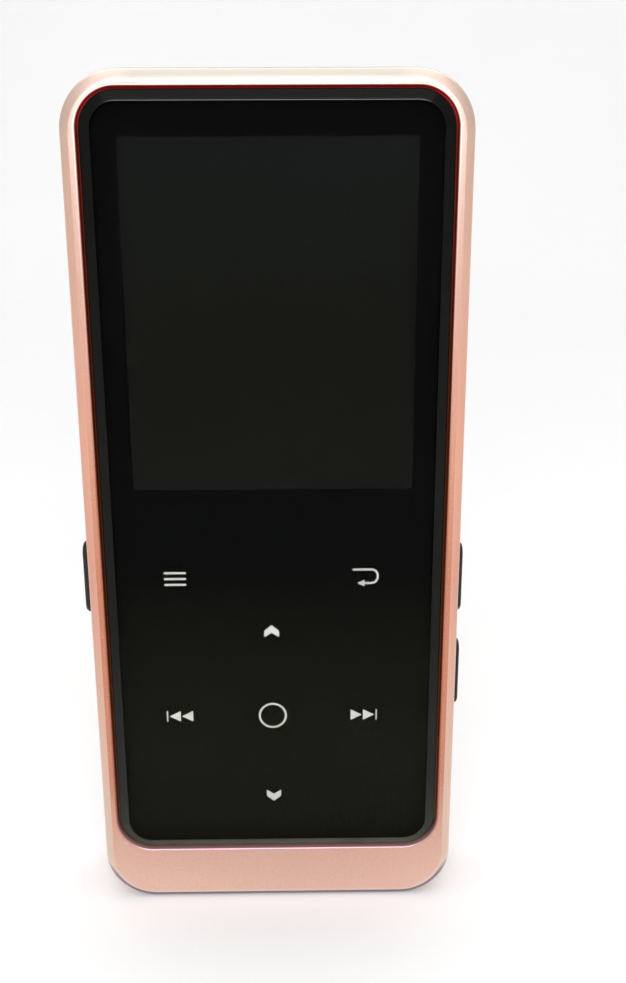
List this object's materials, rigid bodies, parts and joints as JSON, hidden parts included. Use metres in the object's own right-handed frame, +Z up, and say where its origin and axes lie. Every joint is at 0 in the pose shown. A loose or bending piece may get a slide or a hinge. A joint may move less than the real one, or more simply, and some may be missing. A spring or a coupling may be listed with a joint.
{
  "type": "digital audio player",
  "caption": "Slim pocket audio player with a satin rose metal case, a black glass front with a display window and touch icons, side buttons, audio and USB sockets.",
  "frame": {"origin": "centre of the bottom end, on the surface that the player stands on", "axes": "+Z up along the length to the top end, +X to the right seen from the front, +Y out of the back; the glass faces -Y"},
  "size_m": [0.0417, 0.009, 0.0922],
  "materials": {
    "rose_metal": "fine bead-blasted and anodised, satin",
    "screw_steel": "satin",
    "socket_steel": "satin plated",
    "front_glass": "polished",
    "black_ink": "satin print",
    "white_ink": "satin print",
    "black_tape": "matte",
    "clear_film": "gloss",
    "white_plastic": "satin",
    "flex_film": "satin",
    "display_glass": "polished",
    "board_green": "solder mask gloss",
    "chip_black": "matte",
    "black_plastic": "satin",
    "button_dark": "satin gloss",
    "battery_foil": "satin foil",
    "foam": "matte",
    "black_rubber": "matte",
    "red_wire": "satin",
    "black_wire": "satin"
  },
  "bodies": {
    "case": {"front_frame": "rose_metal", "rear_cover": "rose_metal", "cover_screw_1": "screw_steel", "cover_screw_2": "screw_steel", "cover_screw_3": "screw_steel", "cover_screw_4": "screw_steel", "cover_glass": "front_glass", "ink_mask": "black_ink", "glass_tape": "black_tape", "touch_film": "clear_film", "touch_support": "white_plastic", "touch_flex": "flex_film", "lcd_panel": "display_glass", "backlight_unit": "white_plastic", "display_flex": "flex_film", "main_board": "board_green", "board_screw_1": "screw_steel", "board_screw_2": "screw_steel", "main_chip": "chip_black", "charger_chip": "chip_black", "memory_chip": "chip_black", "crystal": "socket_steel", "display_connector": "black_plastic", "touch_connector": "black_plastic", "battery_cell": "battery_foil", "battery_pad": "foam", "battery_protection_board": "board_green", "battery_lead_red": "red_wire", "battery_lead_black": "black_wire", "power_switch": "socket_steel", "volume_up_switch": "socket_steel", "volume_down_switch": "socket_steel", "headphone_jack": "black_plastic", "usb_socket": "socket_steel", "usb_tongue": "black_plastic", "card_socket": "socket_steel", "microphone": "socket_steel", "microphone_boot": "black_rubber"},
    "power_key": {"power_button": "button_dark", "power_switch_plunger": "black_plastic"},
    "volume_up_key": {"volume_up_button": "button_dark", "volume_up_switch_plunger": "black_plastic"},
    "volume_down_key": {"volume_down_button": "button_dark", "volume_down_switch_plunger": "black_plastic"}
  },
  "joints": [
    {"name": "power_press", "type": "slide", "parent": "case", "child": "power_key", "axis": [1, 0, 0], "range_m": [0, 0.0003], "stiffness_N_per_m": 4000},
    {"name": "volume_up_press", "type": "slide", "parent": "case", "child": "volume_up_key", "axis": [-1, 0, 0], "range_m": [0, 0.0003], "stiffness_N_per_m": 4000},
    {"name": "volume_down_press", "type": "slide", "parent": "case", "child": "volume_down_key", "axis": [-1, 0, 0], "range_m": [0, 0.0003], "stiffness_N_per_m": 4000}
  ]
}
